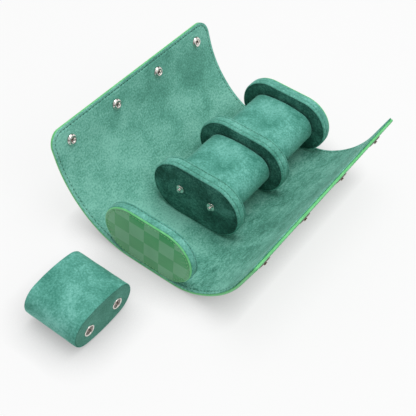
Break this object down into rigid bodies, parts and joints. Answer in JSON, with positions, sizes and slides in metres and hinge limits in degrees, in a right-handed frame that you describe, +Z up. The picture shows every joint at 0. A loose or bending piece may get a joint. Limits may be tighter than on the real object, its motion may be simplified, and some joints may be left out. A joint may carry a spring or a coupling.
{
  "type": "watch roll",
  "caption": "Open watch roll: a curved leather wrap lined with suede, upright oval dividers and end caps, snap-in watch pillows and one pillow set beside it.",
  "frame": {"origin": "middle of the flat underside of the wrap, under the middle of the stack", "axes": "+X along the stack towards the far cap, +Y towards the back flap with the sockets, +Z up off the table"},
  "size_m": [0.3128, 0.2063, 0.0883],
  "materials": {
    "leather": "smooth green leather with a faint two-tone check and a pale lime painted edge",
    "lining_suede": "short-napped teal green microsuede",
    "stack_suede": "short-napped teal green microsuede",
    "pillow_suede": "short-napped teal green microsuede",
    "padding": "thin felted padding, hidden",
    "foam": "pressed fibre core, hidden",
    "board": "grey bookbinding board, hidden",
    "snap_metal": "polished nickel-plated snaps"
  },
  "bodies": {
    "wrap_base": {"wrap_base_leather": "leather", "wrap_base_padding": "padding", "wrap_base_lining": "lining_suede", "near_cap_leather": "leather", "near_cap_board": "board", "near_cap_suede": "stack_suede", "divider_a_near_suede": "stack_suede", "divider_a_near_board": "board", "divider_a_far_board": "board", "divider_a_far_suede": "stack_suede", "divider_b_near_suede": "stack_suede", "divider_b_near_board": "board", "divider_b_far_board": "board", "divider_b_far_suede": "stack_suede", "far_cap_suede": "stack_suede", "far_cap_inner_board": "board", "far_cap_outer_board": "board", "far_cap_leather": "leather", "pillow_studs": "snap_metal", "pillow_stud_posts": "snap_metal"},
    "front_panel_1": {"front_panel_1_leather": "leather", "front_panel_1_padding": "padding", "front_panel_1_lining": "lining_suede"},
    "front_panel_2": {"front_panel_2_leather": "leather", "front_panel_2_padding": "padding", "front_panel_2_lining": "lining_suede"},
    "front_panel_3": {"front_panel_3_leather": "leather", "front_panel_3_padding": "padding", "front_panel_3_lining": "lining_suede"},
    "front_panel_4": {"front_panel_4_leather": "leather", "front_panel_4_padding": "padding", "front_panel_4_lining": "lining_suede", "front_studs": "snap_metal", "front_stud_posts": "snap_metal"},
    "flap_panel_1": {"flap_panel_1_leather": "leather", "flap_panel_1_padding": "padding", "flap_panel_1_lining": "lining_suede"},
    "flap_panel_2": {"flap_panel_2_leather": "leather", "flap_panel_2_padding": "padding", "flap_panel_2_lining": "lining_suede"},
    "flap_panel_3": {"flap_panel_3_leather": "leather", "flap_panel_3_padding": "padding", "flap_panel_3_lining": "lining_suede"},
    "flap_panel_4": {"flap_panel_4_leather": "leather", "flap_panel_4_padding": "padding", "flap_panel_4_lining": "lining_suede", "flap_sockets": "snap_metal", "flap_socket_posts": "snap_metal"},
    "middle_pillow": {"middle_pillow_foam": "foam", "middle_pillow_sleeve": "pillow_suede", "middle_pillow_ends": "pillow_suede", "middle_pillow_sockets": "snap_metal"},
    "far_pillow": {"far_pillow_foam": "foam", "far_pillow_sleeve": "pillow_suede", "far_pillow_ends": "pillow_suede", "far_pillow_sockets": "snap_metal"},
    "near_pillow": {"near_pillow_foam": "foam", "near_pillow_sleeve": "pillow_suede", "near_pillow_ends": "pillow_suede", "near_pillow_sockets": "snap_metal"}
  },
  "joints": [
    {"name": "front_fold_1", "type": "hinge", "parent": "wrap_base", "child": "front_panel_1", "pos_m": [0, -0.02844, 0.00362], "axis": [-1, 0, 0], "range_deg": [0, 28]},
    {"name": "front_fold_2", "type": "hinge", "parent": "front_panel_1", "child": "front_panel_2", "pos_m": [0, -0.05329, 0.01225], "axis": [-1, 0, 0], "range_deg": [0, 28]},
    {"name": "front_fold_3", "type": "hinge", "parent": "front_panel_2", "child": "front_panel_3", "pos_m": [0, -0.07005, 0.02661], "axis": [-1, 0, 0], "range_deg": [0, 28]},
    {"name": "front_fold_4", "type": "hinge", "parent": "front_panel_3", "child": "front_panel_4", "pos_m": [0, -0.08224, 0.04382], "axis": [-1, 0, 0], "range_deg": [0, 28]},
    {"name": "flap_fold_1", "type": "hinge", "parent": "wrap_base", "child": "flap_panel_1", "pos_m": [0, 0.02987, 0.00457], "axis": [1, 0, 0], "range_deg": [0, 24.55]},
    {"name": "flap_fold_2", "type": "hinge", "parent": "flap_panel_1", "child": "flap_panel_2", "pos_m": [0, 0.04808, 0.01032], "axis": [1, 0, 0], "range_deg": [0, 26.58]},
    {"name": "flap_fold_3", "type": "hinge", "parent": "flap_panel_2", "child": "flap_panel_3", "pos_m": [0, 0.06694, 0.02312], "axis": [1, 0, 0], "range_deg": [0, 27.93]},
    {"name": "flap_fold_4", "type": "hinge", "parent": "flap_panel_3", "child": "flap_panel_4", "pos_m": [0, 0.0872, 0.04908], "axis": [1, 0, 0], "range_deg": [0, 29.44]},
    {"name": "middle_pillow_unsnap", "type": "slide", "parent": "wrap_base", "child": "middle_pillow", "axis": [-1, 0, 0], "range_m": [0, 0.0032]},
    {"name": "far_pillow_unsnap", "type": "slide", "parent": "wrap_base", "child": "far_pillow", "axis": [-1, 0, 0], "range_m": [0, 0.0068]},
    {"name": "near_pillow_lift", "type": "slide", "parent": "wrap_base", "child": "near_pillow", "axis": [0, 0, 1], "range_m": [0, 0.09]}
  ],
  "couplings": [
    {"joint": "front_fold_2", "follows": "front_fold_1", "ratio": 1},
    {"joint": "front_fold_3", "follows": "front_fold_1", "ratio": 1},
    {"joint": "front_fold_4", "follows": "front_fold_1", "ratio": 1},
    {"joint": "flap_fold_2", "follows": "flap_fold_1", "ratio": 1.083},
    {"joint": "flap_fold_3", "follows": "flap_fold_1", "ratio": 1.138},
    {"joint": "flap_fold_4", "follows": "flap_fold_1", "ratio": 1.1994}
  ]
}
